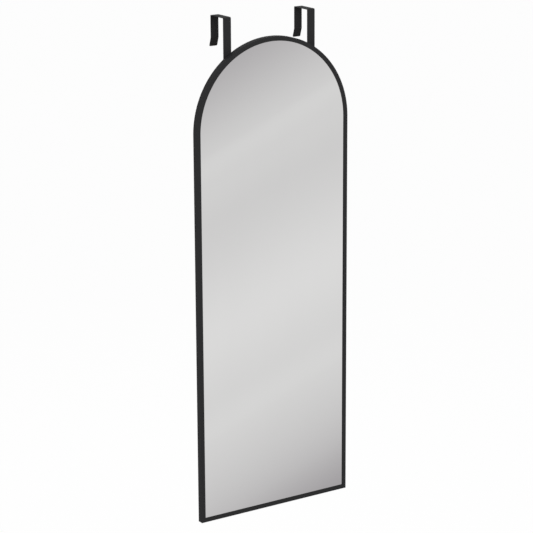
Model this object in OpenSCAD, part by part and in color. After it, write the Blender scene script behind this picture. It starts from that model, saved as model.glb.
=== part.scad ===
// Arched full-length mirror that hangs on a door by two height-adjustable hooks.
// Millimetres. X runs to the right seen from the front, Y from the front to the back, Z up.
// The origin is on the door's top edge, midway between the hooks and midway through the door.

/* [Frame] */
// Overall width of the mirror, and so the diameter of its arch
mirror_w = 400; // [300:10:500]
// Overall height from the bottom edge to the top of the arch
mirror_h = 1100; // [900:10:1500]
// Width of the frame seen from the front
rail_w = 10; // [9:0.5:16]
// Thickness of the extrusion's outer wall and front lip
rail_wall = 1.5; // [1.2:0.1:2.2]
// Thickness of the extrusion's rib and rear flange
rib_t = 1.2; // [0.8:0.1:1.6]
// Depth of the channel between rib and rear flange, which takes keys and hanger rail
channel_d = 2.9; // [2.6:0.1:5]
// Flat that breaks the extrusion's visible edges
edge_break = 0.35; // [0.1:0.05:0.6]
// Width of the hairline at each mitred corner
mitre_gap = 0.1; // [0.05:0.05:0.3]

/* [Mirror] */
// Thickness of the glass
glass_t = 4; // [3:0.5:6]
// Flat ground along the front edge of the glass
glass_seam = 0.5; // [0.2:0.1:1]
// Thickness of the silver and its paint
coating_t = 0.1; // [0.05:0.05:0.2]
// Thickness of the safety film
film_t = 0.2; // [0.1:0.05:0.4]
// How far coating and film stop short of the glass edge
film_inset = 0.5; // [0:0.5:3]
// Thickness of the double-sided foam tape
tape_t = 0.8; // [0.5:0.1:1.5]
// Width of each strip of tape
tape_w = 20; // [10:1:40]
// Distance between the strips of tape
tape_pitch = 100; // [60:5:120]
// Number of strips of tape
tape_count = 4; // [2:1:4]
// How far the tape stops short of the board's bottom edge and of the arch
tape_margin = 60; // [20:5:120]
// Thickness of the backing board
board_t = 3; // [2:0.5:5]
// Slack between the backing board and the rib behind it
board_slack = 0.1; // [0.05:0.05:0.3]
// Room between the edge of the glass and the frame's outer wall
edge_gap = 1.5; // [1:0.1:3]
// Length of each rubber setting block and side spacer
block_l = 40; // [20:5:80]
// Distance from the frame's corner to the near end of a setting block
block_inset = 60; // [40:5:90]
// Height of the lower side spacers above the bottom edge
spacer_z = 150; // [80:10:250]
// Distance from the start of the arch down to the upper side spacers
spacer_drop = 80; // [50:10:150]

/* [Corner joints] */
// Length of each leg of a corner key
key_leg = 36; // [24:1:60]
// Clearance of keys and tabs in the frame's channel
key_fit = 0.1; // [0.05:0.05:0.2]
// Distance from the frame's corner to each key screw
key_screw_at = 26; // [16:1:50]
// Diameter of the key screws
key_screw_d = 3; // [2.5:0.5:4]
// Gap between the tips of key and tab screws and the rib in front of them
screw_tip_gap = 0.3; // [0.1:0.1:0.6]

/* [Hanger rail] */
// Distance from the start of the arch up to the middle of the hanger rail
hanger_rise = 85; // [70:1:90]
// Height of the hanger rail's flat crown
crown_h = 44; // [40:1:60]
// Width of the rail's feet, which lie along the backing board
foot_w = 8; // [5:1:12]
// Thickness of the rail's steel sheet
hanger_t = 1.5; // [1.2:0.1:2]
// Height of the rail's end tabs
tab_h = 38; // [30:1:40]
// Gap between the rail and the frame's rib and flange
hanger_gap = 0.4; // [0.2:0.1:1]
// Distance between the two screws in each end tab
tab_screw_pitch = 22; // [14:1:26]
// Diameter of the end tab screws
tab_screw_d = 3.5; // [3:0.5:4]

/* [Hooks] */
// Distance between the middles of the two hooks
hook_spacing = 220; // [160:5:240]
// Width of the hooks' steel strap
strap_w = 20; // [16:1:30]
// Thickness of the strap
strap_t = 1.5; // [1.2:0.1:2.5]
// Clear distance between the strap's two legs, across the door
throat = 50; // [40:1:60]
// Height of the strap's top above the top of the arch
hook_rise = 50; // [45:1:90]
// Straight length of the rear leg, from the strap's top to the lip
rear_leg = 50; // [40:1:80]
// Height of the flared lip
lip_drop = 20; // [10:1:30]
// How far the lip leans away from the door, in degrees
lip_lean = 18; // [5:1:40]
// Inside radius of the bend in front of the door
front_bend_r = 1.8; // [1:0.1:4]
// Inside radius of the bend behind the door and of the bend above the lip
rear_bend_r = 0.6; // [0.4:0.1:3]
// Radius of the strap's corners
strap_corner_r = 2; // [1:0.5:4]
// Travel of each hook up or down from the middle of its slot
hook_travel = 25; // [10:1:35]

/* [Clamps] */
// Distance between the two clamp screws of a hook
clamp_pitch = 20; // [16:1:28]
// Diameter of the clamp screws
clamp_screw_d = 5; // [4:0.5:6]
// Clearance between a clamp screw and the side of the slot
slot_fit = 0.3; // [0.2:0.05:0.6]
// Thickness of the clamp plates
plate_t = 1.2; // [1:0.1:2]
// How far a clamp plate reaches beyond its screws
plate_reach = 7; // [6:0.5:9]
// Diameter of the clamp screws' heads
clamp_head_d = 11; // [9:0.5:13]
// Height of the clamp screws' heads
clamp_head_h = 1.5; // [1.2:0.1:2]
// Width across the flats of the clamp screws' sockets
clamp_socket = 3; // [2.5:0.5:4]
// Diameter of the clinch nuts
nut_d = 8.8; // [8:0.1:11]
// How far the clinch nuts stand out inside the rail
nut_h = 2; // [1.6:0.1:2.2]
// Wall of the clinch nuts' shank, which sits in the sheet
nut_shank_wall = 0.8; // [0.6:0.1:1.2]

/* [Pads] */
// Thickness of the foam pads on the hooks' legs
pad_t = 4; // [3.6:0.1:6]
// Height of each foam pad
pad_h = 22; // [12:1:30]
// Width of strap left bare on each side of a pad
pad_margin = 2; // [1:0.5:4]
// Gap between a pad and the clamp plate at the end of the travel
pad_gap = 2; // [1:0.5:5]
// Strap left below the lower pad
leg_tail = 4; // [2:1:10]
// Diameter of the rear bumpers
bumper_d = 9; // [7:0.5:9]
// Distance from the frame's corner to each rear bumper
bumper_at = 60; // [50:5:120]

/* [Hidden] */
$fn = 96;

// Sides: the left hook hangs at negative X, the right one at positive X
LEFT = -1;
RIGHT = 1;
// A cut starts and ends this far outside what it cuts
over = 1;
// Clearance of a screw in its hole, and of a thread in its nut
hole_fit = 0.2;
thread_fit = 0.05;
// Proportions of a pan head: diameter and height against the screw's diameter
pan_head_ratio = 1.8;
pan_height_ratio = 0.5;
// A cross recess: its arm's length and width against the head's diameter
recess_arm_ratio = 0.55;
recess_width_ratio = 0.16;
// Flats that make up the bend above the lip
lip_steps = 6;

// Depths, counted from the frame's front face towards the door
glass_y = rail_wall;
coating_y = glass_y + glass_t;
film_y = coating_y + coating_t;
tape_y = film_y + film_t;
board_y = tape_y + tape_t;
board_back = board_y + board_t;
rib_y = board_back + board_slack;
channel_y = rib_y + rib_t;
flange_y = channel_y + channel_d;
frame_back = flange_y + rib_t;
strap_back = frame_back + strap_t;
plate_back = strap_back + plate_t;
door_y = strap_back + pad_t;
rear_leg_y = strap_back + throat;

// Heights, counted from the mirror's bottom edge
arch_r = mirror_w / 2;
spring_z = mirror_h - arch_r;
hanger_z = spring_z + hanger_rise;
strap_top = mirror_h + hook_rise;
seat_z = strap_top - strap_t;
lip_z = strap_top - rear_leg;

// Glass, board and channel
glass_inset = rail_wall + edge_gap;
channel_inset = rail_wall + key_fit;
rib_edge_r = arch_r - rail_w;
channel_mid = (rail_wall + rail_w) / 2;

// Clamps
plate_w = strap_w;
plate_h = clamp_pitch + 2 * plate_reach;
slot_r = clamp_screw_d / 2 + slot_fit;
slot_half = clamp_pitch / 2 + hook_travel;
pad_near = plate_h / 2 + hook_travel + pad_gap;
leg_bottom = hanger_z - pad_near - pad_h - leg_tail;
clamp_screw_l = plate_t + strap_t + hanger_t + nut_h;
clamp_rim_h = clamp_head_h * 2 / 3;
flange_screw_l = rib_t + channel_d - screw_tip_gap;

// The door's middle plane lies between the foam pads and the rear leg
door_mid_y = (door_y + rear_leg_y) / 2;

// Moves a piece drawn from the mirror's bottom edge and front face to the door's top edge
module from_door() {
    translate([0, -door_mid_y, -seat_z]) children();
}

// Stands a flat outline up, so that its Y is height and it is extruded towards the door
module upright(y = 0) {
    translate([0, y, 0]) rotate([90, 0, 0]) mirror([0, 0, 1]) children();
}

// Puts a piece that is drawn on the left on one side of the middle, or on both
module on_side(side) {
    if (side == RIGHT) mirror([1, 0, 0]) children();
    else children();
}

module on_both_sides() {
    for (side = [LEFT, RIGHT]) on_side(side) children();
}

// Outline of the arch at a distance inside the frame's outer face
module arch_outline(inset) {
    r = arch_r - inset;
    translate([0, spring_z]) circle(r = r);
    translate([-r, inset]) square([2 * r, spring_z - inset]);
}

// A pane with the arch's outline
module arched_pane(inset, y, t) {
    upright(y) linear_extrude(height = t) arch_outline(inset);
}

// A rectangle with round corners, about its centre
module round_rect(w, h, r) {
    square([w - 2 * r, h], center = true);
    square([w, h - 2 * r], center = true);
    for (x = [-1, 1], z = [-1, 1])
        translate([x * (w / 2 - r), z * (h / 2 - r)]) circle(r = r);
}

// A slot with round ends, upright about its centre
module slot_outline(r, half) {
    square([2 * r, 2 * half], center = true);
    for (z = [-1, 1]) translate([0, z * half]) circle(r = r);
}

// A straight hole or shank along Y, from one depth to another
module along_y(d, from, to) {
    upright(from) cylinder(d = d, h = to - from);
}

// A pan-head screw with a cross recess, its head's seat at Y = 0 and its shank towards the front
module pan_screw(d, l, head_base) {
    head_d = d * pan_head_ratio;
    head_h = d * pan_height_ratio;
    arm = head_d * recess_arm_ratio;
    slit = head_d * recess_width_ratio;
    difference() {
        union() {
            along_y(d - 2 * thread_fit, head_base - l, head_base + head_h / 2);
            upright(head_base) {
                cylinder(d = head_d, h = head_h * 0.5);
                translate([0, 0, head_h * 0.5])
                    cylinder(d1 = head_d, d2 = head_d * 0.7, h = head_h * 0.5);
            }
        }
        for (turn = [0, 90])
            translate([0, head_base + head_h, 0]) rotate([0, turn, 0])
                cube([arm, head_h * 1.1, slit], center = true);
    }
}

// Section of the extrusion: X counts inwards from its outer face, Y backwards from its front
module rail_section() {
    e = edge_break;
    polygon([
        [0, e], [e, 0], [rail_w - e, 0], [rail_w, e], [rail_w, rail_wall],
        [rail_wall, rail_wall], [rail_wall, rib_y], [rail_w, rib_y], [rail_w, channel_y],
        [rail_wall, channel_y], [rail_wall, flange_y], [rail_w, flange_y],
        [rail_w, frame_back - e], [rail_w - e, frame_back], [e, frame_back], [0, frame_back - e]
    ]);
}

// What lies above the mitres, as an outline; a positive shift moves the cuts up
module above_mitres(shift) {
    polygon([
        [-arch_r - over, -over + shift], [-arch_r + rail_w + over, rail_w + over + shift],
        [arch_r - rail_w - over, rail_w + over + shift], [arch_r + over, -over + shift],
        [arch_r + over, mirror_h + over], [-arch_r - over, mirror_h + over]
    ]);
}

// Centres of the key screws: one in the side rail, one in the bottom rail
module at_key_screws(side) {
    translate([side * (arch_r - channel_mid), 0, key_screw_at]) children();
    translate([side * (arch_r - key_screw_at), 0, channel_mid]) children();
}

// Centres of the end tab screws, on the arch's channel
module at_tab_screws() {
    r = arch_r - channel_mid;
    for (side = [LEFT, RIGHT], up = [-1, 1]) {
        rise = hanger_rise + up * tab_screw_pitch / 2;
        translate([side * sqrt(r * r - rise * rise), 0, spring_z + rise]) children();
    }
}

// Centres of the clamp screws of one hook
module at_clamp_screws(side) {
    for (up = [-1, 1])
        translate([side * hook_spacing / 2, 0, hanger_z + up * clamp_pitch / 2]) children();
}

module frame_arch_rail() {
    color("#2b2b2d") from_door() difference() {
        intersection() {
            union() {
                on_both_sides() translate([-arch_r, 0, 0])
                    linear_extrude(height = spring_z) rail_section();
                translate([0, 0, spring_z]) upright() rotate_extrude(angle = 180)
                    translate([arch_r, 0]) mirror([1, 0]) rail_section();
            }
            upright(-over) linear_extrude(height = frame_back + 2 * over)
                above_mitres(mitre_gap / 2);
        }
        for (side = [LEFT, RIGHT])
            translate([side * (arch_r - channel_mid), 0, key_screw_at])
                along_y(key_screw_d + 2 * hole_fit, flange_y - over / 2, frame_back + over);
        at_tab_screws()
            along_y(tab_screw_d + 2 * hole_fit, flange_y - over / 2, frame_back + over);
    }
}

module frame_bottom_rail() {
    color("#2b2b2d") from_door() difference() {
        translate([arch_r, 0, 0]) rotate([0, -90, 0])
            linear_extrude(height = mirror_w) rail_section();
        upright(-over) linear_extrude(height = frame_back + 2 * over)
            above_mitres(-mitre_gap / 2);
        for (side = [LEFT, RIGHT])
            translate([side * (arch_r - key_screw_at), 0, channel_mid])
                along_y(key_screw_d + 2 * hole_fit, flange_y - over / 2, frame_back + over);
    }
}

module corner_key(side) {
    inner = rail_w - channel_inset;
    color("#9a9c9f") from_door() difference() {
        on_side(side) translate([-arch_r + channel_inset, 0, channel_inset])
            upright(channel_y + key_fit) linear_extrude(height = channel_d - 2 * key_fit) {
                square([inner, key_leg]);
                square([key_leg, inner]);
            }
        at_key_screws(side) along_y(key_screw_d, channel_y - over, frame_back);
    }
}

module corner_key_left() {
    corner_key(LEFT);
}

module corner_key_right() {
    corner_key(RIGHT);
}

module corner_key_screws() {
    color("#8f9194") from_door() for (side = [LEFT, RIGHT])
        at_key_screws(side) pan_screw(key_screw_d, flange_screw_l, frame_back);
}

module mirror_glass() {
    seam = glass_seam;
    color("#c9d6d4") from_door() {
        arched_pane(glass_inset, glass_y + seam, glass_t - seam);
        translate([0, glass_y + seam, spring_z]) upright() mirror([0, 0, 1])
            cylinder(r1 = arch_r - glass_inset, r2 = arch_r - glass_inset - seam, h = seam);
        seamed_lower_pane(glass_y, glass_inset, seam);
    }
}

// The front layer of the pane below the arch, its sides and bottom sloping with the ground flat
module seamed_lower_pane(y, inset, seam) {
    half = arch_r - inset;
    intersection() {
        translate([0, 0, inset]) linear_extrude(height = spring_z - inset) polygon([
            [-half, y + seam], [-half + seam, y], [half - seam, y], [half, y + seam]
        ]);
        translate([-arch_r, 0, 0]) rotate([90, 0, 90]) linear_extrude(height = mirror_w) polygon([
            [y + seam, inset], [y, inset + seam], [y, spring_z], [y + seam, spring_z]
        ]);
    }
}

module silver_coating() {
    color("#d4d6d8") from_door()
        arched_pane(glass_inset + film_inset, coating_y, coating_t);
}

module safety_film() {
    color("#5f6468") from_door()
        arched_pane(glass_inset + film_inset, film_y, film_t);
}

module foam_tape() {
    low = glass_inset + tape_margin;
    color("#e8e6df") from_door() for (i = [0 : tape_count - 1])
        translate([(i - (tape_count - 1) / 2) * tape_pitch - tape_w / 2, tape_y, low])
            cube([tape_w, tape_t, spring_z - tape_margin - low]);
}

module backing_board() {
    color("#8a6e52") from_door() arched_pane(glass_inset, board_y, board_t);
}

module setting_blocks() {
    color("#26282a") from_door() on_both_sides()
        translate([-arch_r + block_inset, glass_y, rail_wall])
            cube([block_l, board_back - glass_y, edge_gap]);
}

module side_spacers() {
    color("#26282a") from_door() on_both_sides()
        for (z = [spacer_z, spring_z - spacer_drop - block_l])
            translate([-arch_r + rail_wall, glass_y, z])
                cube([edge_gap, board_back - glass_y, block_l]);
}

// A band of the arch between two radii and within half a height of the hanger rail's middle
module arch_band(r_in, r_out, h, from, to) {
    intersection() {
        translate([0, from, spring_z]) upright() difference() {
            cylinder(r = r_out, h = to - from);
            translate([0, 0, -over]) cylinder(r = r_in, h = to - from + 2 * over);
        }
        translate([-arch_r, from - over, hanger_z - h / 2])
            cube([mirror_w, to - from + 2 * over, h]);
    }
}

module hanger_rail() {
    hat_r = rib_edge_r - hanger_gap;
    foot_y = board_back + board_slack;
    crown_y = frame_back - hanger_t;
    tab_back = flange_y - key_fit;
    half = crown_h / 2;
    color("#77797c") from_door() difference() {
        union() {
            intersection() {
                translate([-arch_r, 0, hanger_z]) rotate([90, 0, 90])
                    linear_extrude(height = mirror_w) {
                        translate([crown_y, -half]) square([hanger_t, crown_h]);
                        for (flip = [0, 1]) mirror([0, flip]) {
                            translate([foot_y, half - hanger_t])
                                square([frame_back - foot_y, hanger_t]);
                            translate([foot_y, half - hanger_t])
                                square([hanger_t, foot_w + hanger_t]);
                        }
                    }
                translate([0, 0, spring_z]) upright() cylinder(r = hat_r, h = frame_back + over);
            }
            arch_band(hat_r - hanger_t, hat_r, tab_h, tab_back - hanger_t, frame_back);
            arch_band(hat_r - hanger_t, arch_r - channel_inset, tab_h,
                tab_back - hanger_t, tab_back);
        }
        at_tab_screws() along_y(tab_screw_d, foot_y, frame_back + over);
        for (side = [LEFT, RIGHT]) at_clamp_screws(side)
            along_y(clamp_screw_d + 2 * nut_shank_wall + 2 * thread_fit,
                foot_y + hanger_t, frame_back + over);
    }
}

module hanger_rail_screws() {
    color("#8f9194") from_door()
        at_tab_screws() pan_screw(tab_screw_d, flange_screw_l, frame_back);
}

module hanger_nuts() {
    sheet_y = frame_back - hanger_t;
    color("#b5a46a") from_door() for (side = [LEFT, RIGHT]) at_clamp_screws(side) difference() {
        union() {
            along_y(nut_d, sheet_y - nut_h, sheet_y);
            along_y(clamp_screw_d + 2 * nut_shank_wall, sheet_y - nut_h, frame_back);
        }
        along_y(clamp_screw_d, sheet_y - nut_h - over, frame_back + over);
    }
}

module clamp_plate(side) {
    color("#6e7073") from_door() difference() {
        translate([side * hook_spacing / 2, 0, hanger_z]) upright(strap_back)
            linear_extrude(height = plate_t) round_rect(plate_w, plate_h, strap_corner_r);
        at_clamp_screws(side)
            along_y(clamp_screw_d + 2 * hole_fit, strap_back - over, plate_back + over);
    }
}

module clamp_plate_left() {
    clamp_plate(LEFT);
}

module clamp_plate_right() {
    clamp_plate(RIGHT);
}

// Wafer-head machine screws with a six-sided socket
module clamp_screws() {
    socket_d = clamp_socket / cos(30);
    dome_h = clamp_head_h - clamp_rim_h;
    color("#8f9194") from_door() for (side = [LEFT, RIGHT]) at_clamp_screws(side) difference() {
        union() {
            along_y(clamp_screw_d - 2 * thread_fit, plate_back - clamp_screw_l, plate_back);
            upright(plate_back) {
                cylinder(d = clamp_head_d, h = clamp_rim_h);
                translate([0, 0, clamp_rim_h])
                    cylinder(d1 = clamp_head_d, d2 = clamp_head_d - 4 * dome_h, h = dome_h);
            }
        }
        upright(plate_back - dome_h)
            cylinder(d = socket_d, h = clamp_head_h + 2 * dome_h, $fn = 6);
    }
}

// Rubber bumpers on the bottom rail, as deep as strap and pad together
module rear_bumpers() {
    tall = door_y - frame_back;
    dome = tall / 4;
    color("#1d1e20") from_door() on_both_sides()
        translate([-arch_r + bumper_at, 0, rail_w / 2]) upright(frame_back) {
            cylinder(d = bumper_d, h = tall - dome);
            translate([0, 0, tall - dome])
                cylinder(d1 = bumper_d, d2 = bumper_d - 2 * dome, h = dome);
        }
}

// The wall of a strap bent square, its centre at the origin and the bend towards +X and +Y
module square_bend(r_in) {
    intersection() {
        difference() {
            circle(r = r_in + strap_t);
            circle(r = r_in);
        }
        square(r_in + strap_t);
    }
}

// Points on an arc to the left of its centre, turning down from level
function arc_left(centre, r, angles) = [for (a = angles) centre - r * [cos(a), sin(a)]];

// Side view of the rear leg from a height down, with the gentle bend into its lip
module rear_leg_view(top) {
    outer_r = strap_t + rear_bend_r;
    centre = [rear_leg_y + outer_r, lip_z];
    down = [for (i = [0 : lip_steps]) i * lip_lean / lip_steps];
    up = [for (i = [lip_steps : -1 : 0]) i * lip_lean / lip_steps];
    lip_l = (lip_drop - outer_r * sin(lip_lean)) / cos(lip_lean);
    along = lip_l * [sin(lip_lean), -cos(lip_lean)];
    door_side = arc_left(centre, outer_r, down);
    far_side = arc_left(centre, rear_bend_r, up);
    polygon(concat(
        [[rear_leg_y, top]], door_side, [door_side[lip_steps] + along, far_side[0] + along],
        far_side, [[rear_leg_y + strap_t, top]]
    ));
}

// Side view of bridge, rear leg and lip: X counts backwards from the frame's front, Y is height
module hook_side_view() {
    front_x = strap_back + front_bend_r;
    rear_x = rear_leg_y - rear_bend_r;
    translate([front_x, seat_z - front_bend_r]) mirror([1, 0]) square_bend(front_bend_r);
    translate([front_x, seat_z]) square([rear_x - front_x, strap_t]);
    translate([rear_x, seat_z - rear_bend_r]) square_bend(rear_bend_r);
    rear_leg_view(seat_z - rear_bend_r);
}

// Front view of the strap from a height up: its lower corners are round, its top runs on
module strap_front_view(bottom, h) {
    translate([0, bottom + h]) intersection() {
        round_rect(strap_w, 2 * h, strap_corner_r);
        translate([-strap_w / 2, -h]) square([strap_w, h]);
    }
}

module hook(side) {
    lip_z_end = lip_z - lip_drop;
    color("#29292b") from_door() translate([side * hook_spacing / 2, 0, 0]) {
        difference() {
            upright(frame_back) linear_extrude(height = strap_t)
                strap_front_view(leg_bottom, seat_z - front_bend_r - leg_bottom);
            translate([0, 0, hanger_z]) upright(frame_back - over)
                linear_extrude(height = strap_t + 2 * over) slot_outline(slot_r, slot_half);
        }
        intersection() {
            translate([-strap_w / 2, 0, 0]) rotate([90, 0, 90])
                linear_extrude(height = strap_w) hook_side_view();
            upright(frame_back - over) linear_extrude(height = throat + lip_drop + 2 * over)
                strap_front_view(lip_z_end, strap_top + over - lip_z_end);
        }
    }
}

module hook_left() {
    hook(LEFT);
}

module hook_right() {
    hook(RIGHT);
}

// Foam pads above and below the slot, clear of the clamp plate over the whole travel
module door_pads(side) {
    color("#1d1e20") from_door() for (z = [hanger_z + pad_near, hanger_z - pad_near - pad_h])
        translate([side * hook_spacing / 2 - strap_w / 2 + pad_margin, strap_back, z])
            cube([strap_w - 2 * pad_margin, pad_t, pad_h]);
}

module door_pads_left() {
    door_pads(LEFT);
}

module door_pads_right() {
    door_pads(RIGHT);
}

frame_arch_rail();
frame_bottom_rail();
corner_key_left();
corner_key_right();
corner_key_screws();
mirror_glass();
silver_coating();
safety_film();
foam_tape();
backing_board();
setting_blocks();
side_spacers();
hanger_rail();
hanger_rail_screws();
hanger_nuts();
clamp_plate_left();
clamp_plate_right();
clamp_screws();
rear_bumpers();
hook_left();
hook_right();
door_pads_left();
door_pads_right();
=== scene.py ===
"""Arched over-the-door mirror: its finishes and its detailed pieces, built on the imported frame.

Metres. X runs to the right seen from the front, Y from the front towards the door, Z up.
The origin is on the door's top edge, midway between the two hooks.
"""

import math

import bmesh
import bpy
from mathutils import Matrix, Quaternion, Vector


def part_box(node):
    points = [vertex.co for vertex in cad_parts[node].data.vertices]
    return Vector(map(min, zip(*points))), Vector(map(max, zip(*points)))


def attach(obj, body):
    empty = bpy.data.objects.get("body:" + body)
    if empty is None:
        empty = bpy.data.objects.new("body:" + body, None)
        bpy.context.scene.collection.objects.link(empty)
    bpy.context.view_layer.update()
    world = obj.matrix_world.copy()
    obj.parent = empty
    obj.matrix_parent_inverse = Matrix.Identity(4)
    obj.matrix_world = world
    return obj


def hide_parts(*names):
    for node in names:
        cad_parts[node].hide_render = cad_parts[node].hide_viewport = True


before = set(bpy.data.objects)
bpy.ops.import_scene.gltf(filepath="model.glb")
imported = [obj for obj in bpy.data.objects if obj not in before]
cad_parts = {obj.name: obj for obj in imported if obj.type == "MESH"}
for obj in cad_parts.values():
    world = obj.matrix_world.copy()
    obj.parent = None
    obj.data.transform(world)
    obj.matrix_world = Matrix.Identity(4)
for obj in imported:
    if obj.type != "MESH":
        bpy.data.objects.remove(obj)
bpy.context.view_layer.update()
SCENE = bpy.context.scene
MM = 0.001

# Points this close are one: in a new shape; in a CAD mesh or at a mirror plane; after a boolean
SAME_POINT = 0.0001 * MM
CLOSE = 0.001 * MM
MERGE_WITHIN = 0.012 * MM

# Smooth shading up to this angle between faces, in degrees
SMOOTH_BELOW = 28

# ---------------------------------------------------------------- sizes
# They come from the CAD nodes' boxes. A size that no box shows repeats the part's own, or belongs
# to a detail that only this script makes, such as a rounded edge or a screw's recess.

rail_low, rail_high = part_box("frame_arch_rail")
sill_low, sill_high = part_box("frame_bottom_rail")
glass_low, glass_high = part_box("mirror_glass")
key_low, key_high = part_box("corner_key_left")
board_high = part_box("backing_board")[1]
hanger_low, hanger_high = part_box("hanger_rail")
hook_low, hook_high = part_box("hook_left")

ARCH_R = rail_high.x
SPRING = rail_high.z - ARCH_R
BOTTOM = sill_low.z
RAIL_W = sill_high.z - BOTTOM
FRONT = rail_low.y
BACK = rail_high.y

# The extrusion's section: front lip, outer wall, rib and rear flange
KEY_FIT = 0.1 * MM
BOARD_SLACK = 0.1 * MM
LIP_T = glass_low.y - FRONT
RIB_FRONT = board_high.y + BOARD_SLACK
CHANNEL_FRONT = key_low.y - KEY_FIT
CHANNEL_BACK = key_high.y + KEY_FIT
SECTION_ROUND = 0.35 * MM
MITRE_GAP = 0.1 * MM
QUARTER_ARCH_STEPS = 72

# The pane, with a narrow flat ground along its front edge
GLASS_SEAM = 0.5 * MM
PANE_ARCH_STEPS = 180

# The hooks: a strap with a bend at each end of its bridge, and a flared lip
STRAP_T = hook_high.z
LEG_BOTTOM = hook_low.z
THROAT = 50 * MM
REAR_LEG = 50 * MM
LIP_DROP = 20 * MM
LIP_LEAN = math.radians(18)
FRONT_BEND_R = 1.8 * MM
REAR_BEND_R = 0.6 * MM
STRAP_CORNER_R = 2 * MM
STRAP_EDGE = 0.3 * MM
SLOT_HALF = 35 * MM
SLOT_R = 2.8 * MM
PAD_EDGE = 0.8 * MM

# The hanger rail, its end tabs and the clamp plates
HANGER_Z = (hanger_low.z + hanger_high.z) / 2
HANGER_T = 1.5 * MM
CROWN_HALF = 22 * MM
HANGER_GAP = 0.4 * MM
TAB_HALF = 19 * MM
TAB_BACK = CHANNEL_BACK - KEY_FIT
TAB_STEPS = 16
# Each tab is swept this much past its level ends, and then cut
TAB_SPARE = math.radians(0.5)
SHEET_BEND_R = 0.7 * MM
SHEET_EDGE = 0.15 * MM
# Where two faces of the sheet meet more sharply than this, in degrees, the edge is rounded
SHEET_ROUND_ABOVE = 40
# The rail's ends are cut to a circle of this many steps
RAIL_END_STEPS = 360
PLATE_EDGE = 0.2 * MM

# Holes: the screws have clearance in flange and plate, and bite in the rail's tabs
KEY_HOLE_D = 3.4 * MM
TAB_FLANGE_HOLE_D = 3.9 * MM
TAB_HOLE_D = 3.5 * MM
NUT_HOLE_D = 6.7 * MM
PLATE_HOLE_D = 5.4 * MM
# How far a drill runs past each side of a wall
DRILL_OVER = 0.5 * MM

# Screws have plain shanks, a little thinner than their threads
THREAD_FIT = 0.05 * MM

# Clamp screws, with a low crowned head and a six-sided socket
CLAMP_THREAD_R = 2.5 * MM
CLAMP_EDGE = 0.25 * MM
CLAMP_HEAD_H = 1.5 * MM
# From the rim inwards: how far in, and how far up as a share of the head's height
CLAMP_CROWN = [(0, 0.55), (0.3 * MM, 0.75), (1.1 * MM, 0.92), (2 * MM, 1)]
SOCKET_FLATS = 3 * MM
SOCKET_DEPTH = 1.9 * MM

# Pan-head screws; all but the tip's height are shares of a radius or of the head's height
PAN_HEAD_RATIO = 1.8
PAN_TIP_R = 0.8
PAN_TIP_H = 0.2 * MM
PAN_SEAT_R = 0.96
PAN_SEAT_H = 0.1
PAN_CROWN_R = 0.62
PAN_RIM_H = 0.35
# The cross recess, and what its reach, depth and slit are multiplied by at the point
RECESS_REACH = 0.55
RECESS_SLIT = 0.26
RECESS_DEPTH = 0.62
RECESS_POINT = (0.45, 1, 0.7)

# The rubber bumpers: a dome, and a small slope round the foot, as its width and height
DOME_R = 1.6 * MM
FOOT_SLOPE = (0.15 * MM, 0.3 * MM)


# ---------------------------------------------------------------- mesh helpers

def as_piece(bm, name):
    """Turns a bmesh into a linked object at the origin, its normals pointing outwards."""
    bmesh.ops.recalc_face_normals(bm, faces=bm.faces[:])
    mesh = bpy.data.meshes.new(name)
    bm.to_mesh(mesh)
    bm.free()
    piece = bpy.data.objects.new(name, mesh)
    SCENE.collection.objects.link(piece)
    return piece


def settle(piece):
    """Applies the piece's modifiers to its mesh."""
    graph = bpy.context.evaluated_depsgraph_get()
    mesh = bpy.data.meshes.new_from_object(piece.evaluated_get(graph))
    old = piece.data
    piece.modifiers.clear()
    piece.data = mesh
    bpy.data.meshes.remove(old)
    mesh.name = piece.name


def set_in_order(bm):
    """Sorts points, edges and faces by where they are: a boolean gives them in any order."""
    def place(element):
        verts = getattr(element, "verts", [element])
        return sorted(v.co.to_tuple(7) for v in verts)
    for elements in (bm.verts, bm.edges, bm.faces):
        rank = {element: i for i, element in enumerate(sorted(elements, key=place))}
        elements.sort(key=rank.get)
        elements.index_update()


def cut(piece, cutter, operation="DIFFERENCE"):
    """A boolean with another piece, which is used up; points that fall together are merged."""
    modifier = piece.modifiers.new("cut", "BOOLEAN")
    modifier.operation = operation
    modifier.solver = "EXACT"
    modifier.object = cutter
    settle(piece)
    bpy.data.objects.remove(cutter)
    bm = bmesh.new()
    bm.from_mesh(piece.data)
    set_in_order(bm)
    bmesh.ops.remove_doubles(bm, verts=bm.verts[:], dist=MERGE_WITHIN)
    bmesh.ops.dissolve_degenerate(bm, edges=bm.edges[:], dist=MERGE_WITHIN)
    bm.to_mesh(piece.data)
    bm.free()


def round_edges(piece, width, segments=2, angle=30):
    """Rounds every edge that is sharper than the angle."""
    modifier = piece.modifiers.new("round", "BEVEL")
    modifier.limit_method = "ANGLE"
    modifier.angle_limit = math.radians(angle)
    modifier.width = width
    modifier.segments = segments
    modifier.profile = 0.5
    settle(piece)


def shade(piece, angle=SMOOTH_BELOW):
    """Smooth shading with crisp edges above the angle; a wide flat face keeps its own normal."""
    for polygon in piece.data.polygons:
        polygon.use_smooth = True
    piece.data.set_sharp_from_angle(angle=math.radians(angle))
    modifier = piece.modifiers.new("flat_faces", "WEIGHTED_NORMAL")
    modifier.keep_sharp = True
    settle(piece)


def faces_in(geometry):
    return [g for g in geometry if isinstance(g, bmesh.types.BMFace)]


def verts_in(geometry):
    return [g for g in geometry if isinstance(g, bmesh.types.BMVert)]


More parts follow.
